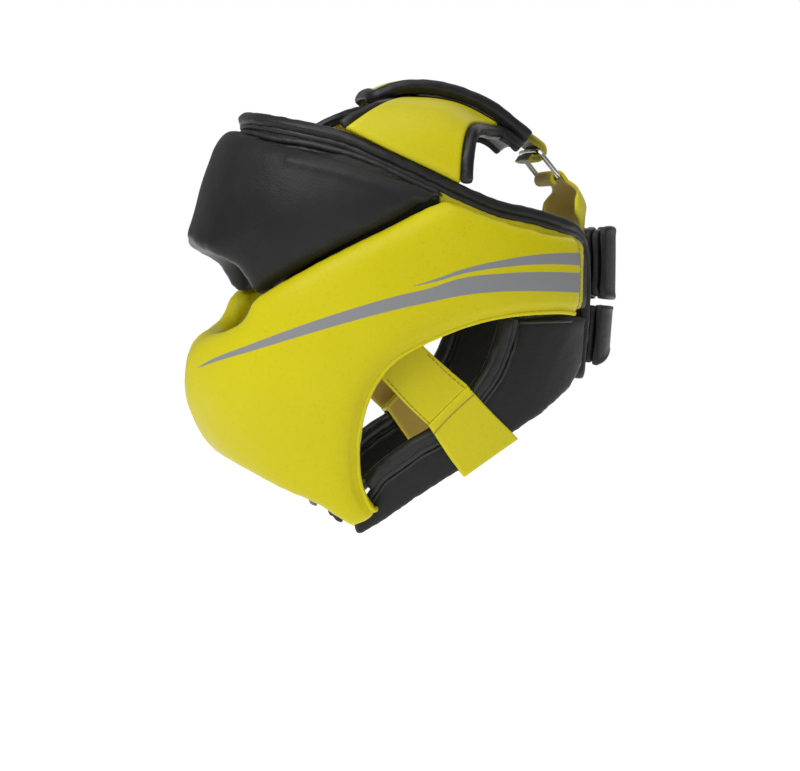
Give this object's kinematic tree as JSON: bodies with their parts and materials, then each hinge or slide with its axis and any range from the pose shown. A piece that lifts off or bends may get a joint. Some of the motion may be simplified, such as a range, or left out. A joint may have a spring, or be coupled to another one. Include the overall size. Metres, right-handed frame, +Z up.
{
  "type": "boxing headgear",
  "caption": "Full-face padded boxing headgear with a brow pad, a thick cheek and chin guard, an open crown and closure straps at the back.",
  "frame": {"origin": "centre of the head hollow at the level of the head band", "axes": "-Y out of the face, +Z up through the crown, +X towards the wearer's left"},
  "size_m": [0.2178, 0.2739, 0.2799],
  "materials": {
    "yellow_leather": "satin",
    "black_leather": "satin",
    "grey_tape": "matte",
    "chrome_wire": "polished"
  },
  "bodies": {
    "root": {"band_binding": "black_leather", "brow_pad": "black_leather", "cheek_guard": "yellow_leather", "chin_strap": "black_leather", "crown_flap": "yellow_leather", "crown_front_binding": "black_leather", "crown_panel_left": "yellow_leather", "crown_panel_right": "yellow_leather", "crown_strap": "black_leather", "crown_tape": "grey_tape", "flap_binding": "black_leather", "hanger_left": "yellow_leather", "hanger_right": "yellow_leather", "head_band": "black_leather", "jaw_roll_left": "black_leather", "jaw_roll_right": "black_leather", "jaw_strap_left": "black_leather", "jaw_strap_right": "black_leather", "rear_panel": "yellow_leather", "rear_strap_lower": "black_leather", "rear_strap_upper": "black_leather", "sleeve_left": "yellow_leather", "sleeve_right": "yellow_leather", "strap_ring": "chrome_wire", "window_binding_left": "black_leather", "window_binding_right": "black_leather"}
  },
  "joints": []
}
